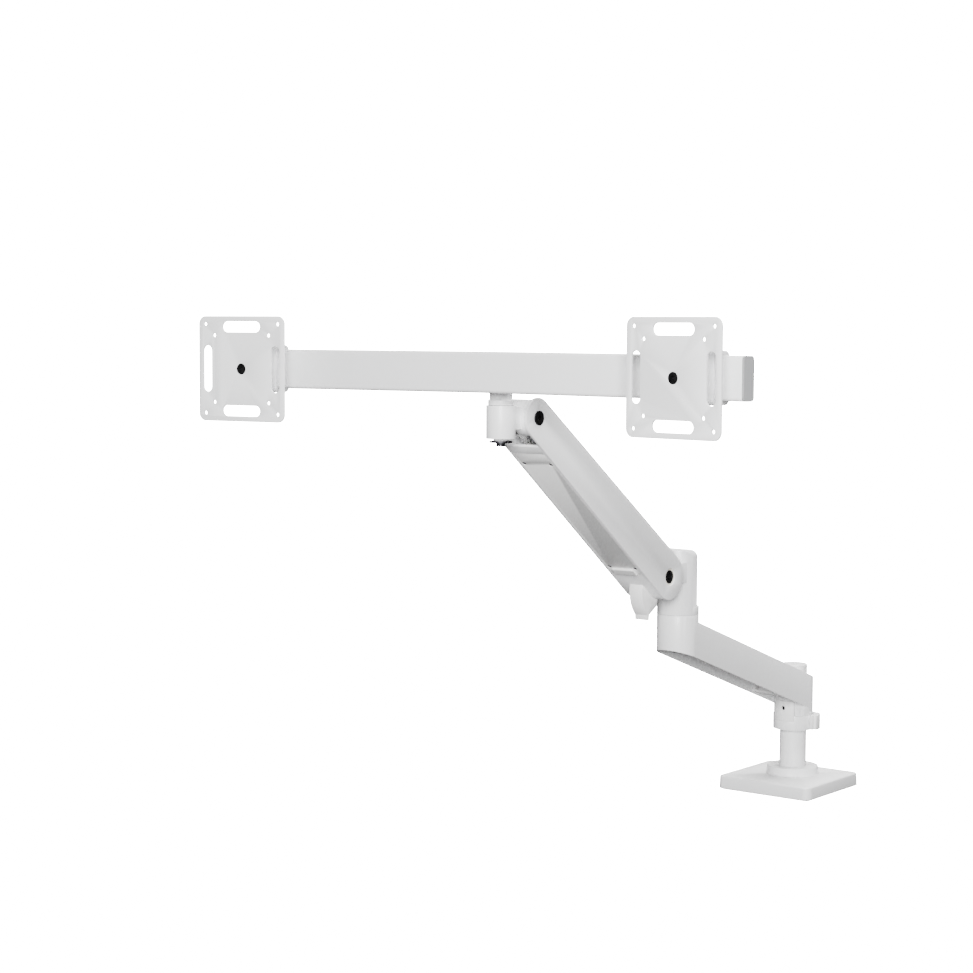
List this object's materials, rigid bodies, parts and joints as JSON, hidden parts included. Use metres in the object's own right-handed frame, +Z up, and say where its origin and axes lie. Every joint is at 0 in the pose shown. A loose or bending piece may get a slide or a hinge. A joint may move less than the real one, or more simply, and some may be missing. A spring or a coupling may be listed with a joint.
{
  "type": "monitor arm",
  "caption": "Bolt-down desk arm with a lifting upper arm and a toed-in cross bar that carries two screens on tilting, turning plates.",
  "frame": {"origin": "on the pole's axis at the mouth of the desk thread, level with the underside of the base pad", "axes": "+Z up along the pole, -Y towards the screens, +X along the cross bar to the right"},
  "size_m": [0.706, 0.8091, 0.6146],
  "materials": {
    "painted_white": "satin powder coat",
    "coated_aluminium": "satin powder coat",
    "plastic_white": "fine texture",
    "plastic_grey": "matte",
    "steel": "turned",
    "dark_steel": "black oxide",
    "nylon": "moulded",
    "rubber_dark": "soft",
    "spring_steel": "drawn wire"
  },
  "bodies": {
    "base": {"base_pad": "rubber_dark", "base_plate": "painted_white", "base_screws": "dark_steel", "pole_flange": "painted_white", "pole": "painted_white", "spindle_washer": "steel", "spindle_bolt": "steel"},
    "lower_arm": {"lower_arm_shell": "coated_aluminium", "pole_bush_lower": "nylon", "pole_thrust_bush": "nylon", "pole_cap": "plastic_white", "collar_ring": "painted_white", "collar_screws": "dark_steel", "stop_block": "plastic_white", "stop_screw": "dark_steel", "lever_pin": "steel", "elbow_bush_upper": "nylon", "elbow_bush_lower": "nylon", "channel_clip": "plastic_white"},
    "lever": {"clamp_lever": "plastic_white"},
    "elbow": {"elbow_column": "coated_aluminium", "elbow_shaft": "steel", "elbow_washer": "steel", "elbow_bolt": "dark_steel", "pivot_screws": "dark_steel", "column_pins": "steel"},
    "upper_arm": {"upper_arm_housing": "coated_aluminium", "underside_cover": "plastic_white", "cover_screws": "dark_steel", "cover_tab": "plastic_white", "cable_clip": "plastic_white", "pivot_bushes": "nylon", "spring": "spring_steel", "spring_seat": "steel", "head_screws": "dark_steel"},
    "level_link": {"level_link": "steel"},
    "draw_rod": {"spring_rod": "steel"},
    "head": {"head_knuckle": "coated_aluminium", "head_pin": "steel", "pan_bush": "nylon"},
    "pan": {"pan_hub": "coated_aluminium", "pan_retainer": "dark_steel"},
    "bar": {"cross_bar": "coated_aluminium", "bar_bracket": "painted_white", "bracket_screws": "dark_steel", "bar_end_caps": "plastic_grey", "tilt_bolt": "dark_steel", "tilt_nut": "steel"},
    "carriage_right": {"carriage_right": "coated_aluminium", "hinge_pin_right": "dark_steel"},
    "knob_right": {"clamp_knob_right": "plastic_grey"},
    "plate_hinge_right": {"plate_hinge_right": "coated_aluminium", "turn_bolt_right": "dark_steel"},
    "plate_right": {"vesa_plate_right": "painted_white"},
    "carriage_left": {"carriage_left": "coated_aluminium", "hinge_pin_left": "dark_steel"},
    "knob_left": {"clamp_knob_left": "plastic_grey"},
    "plate_hinge_left": {"plate_hinge_left": "coated_aluminium", "turn_bolt_left": "dark_steel"},
    "plate_left": {"vesa_plate_left": "painted_white"}
  },
  "joints": [
    {"name": "lower_arm_swivel", "type": "hinge", "parent": "base", "child": "lower_arm", "pos_m": [0, 0, 0.13], "axis": [0, 0, 1], "range_deg": [-90, 90]},
    {"name": "clamp_lever_swing", "type": "hinge", "parent": "lower_arm", "child": "lever", "pos_m": [0.00617, 0.02905, 0.088], "axis": [0, 0, 1], "range_deg": [0, 80]},
    {"name": "elbow_swivel", "type": "hinge", "parent": "lower_arm", "child": "elbow", "pos_m": [0, -0.2835, 0.258], "axis": [0, 0, 1], "range_deg": [-135, 135]},
    {"name": "arm_lift", "type": "hinge", "parent": "elbow", "child": "upper_arm", "pos_m": [0, -0.3405, 0.3093], "axis": [-1, 0, 0], "range_deg": [-46.5, 8.5]},
    {"name": "level_link_swing", "type": "hinge", "parent": "elbow", "child": "level_link", "pos_m": [0, -0.3405, 0.2953], "axis": [-1, 0, 0], "range_deg": [-46.5, 8.5]},
    {"name": "draw_rod_slide", "type": "slide", "parent": "upper_arm", "child": "draw_rod", "axis": [0, -0.8039, 0.5948], "range_m": [-0.0116, 0.0022], "deforming": ["spring"]},
    {"name": "head_level", "type": "hinge", "parent": "upper_arm", "child": "head", "pos_m": [0, -0.60577, 0.50559], "axis": [-1, 0, 0], "range_deg": [-8.5, 46.5]},
    {"name": "head_pan", "type": "hinge", "parent": "head", "child": "pan", "pos_m": [0, -0.63977, 0.50559], "axis": [0, 0, -1], "range_deg": [-45, 45]},
    {"name": "bar_tilt", "type": "hinge", "parent": "pan", "child": "bar", "pos_m": [0, -0.63977, 0.55559], "axis": [1, 0, 0], "range_deg": [-20, 20]},
    {"name": "carriage_slide_right", "type": "slide", "parent": "bar", "child": "carriage_right", "axis": [0.9932, -0.1167, 0], "range_m": [-0.09, 0.026]},
    {"name": "knob_turn_right", "type": "hinge", "parent": "carriage_right", "child": "knob_right", "pos_m": [0.2945, -0.67416, 0.55559], "axis": [0.1167, 0.9932, 0], "range_deg": [-180, 0]},
    {"name": "plate_tilt_right", "type": "hinge", "parent": "carriage_right", "child": "plate_hinge_right", "pos_m": [0.2882, -0.72779, 0.55559], "axis": [0.9932, -0.1167, 0], "range_deg": [-15, 15]},
    {"name": "plate_turn_right", "type": "hinge", "parent": "plate_hinge_right", "child": "plate_right", "pos_m": [0.28633, -0.74368, 0.55559], "axis": [-0.1167, -0.9932, 0], "range_deg": [-90, 90]},
    {"name": "carriage_slide_left", "type": "slide", "parent": "bar", "child": "carriage_left", "axis": [-0.9932, -0.1167, 0], "range_m": [-0.09, 0.026]},
    {"name": "knob_turn_left", "type": "hinge", "parent": "carriage_left", "child": "knob_left", "pos_m": [-0.2945, -0.67416, 0.55559], "axis": [-0.1167, 0.9932, 0], "range_deg": [-180, 0]},
    {"name": "plate_tilt_left", "type": "hinge", "parent": "carriage_left", "child": "plate_hinge_left", "pos_m": [-0.2882, -0.72779, 0.55559], "axis": [0.9932, 0.1167, 0], "range_deg": [-15, 15]},
    {"name": "plate_turn_left", "type": "hinge", "parent": "plate_hinge_left", "child": "plate_left", "pos_m": [-0.28633, -0.74368, 0.55559], "axis": [0.1167, -0.9932, 0], "range_deg": [-90, 90]}
  ],
  "couplings": [
    {"joint": "level_link_swing", "follows": "arm_lift", "ratio": 1},
    {"joint": "head_level", "follows": "arm_lift", "ratio": -1},
    {"joint": "draw_rod_slide", "follows": "arm_lift", "m_per_rad": 0.0142}
  ]
}
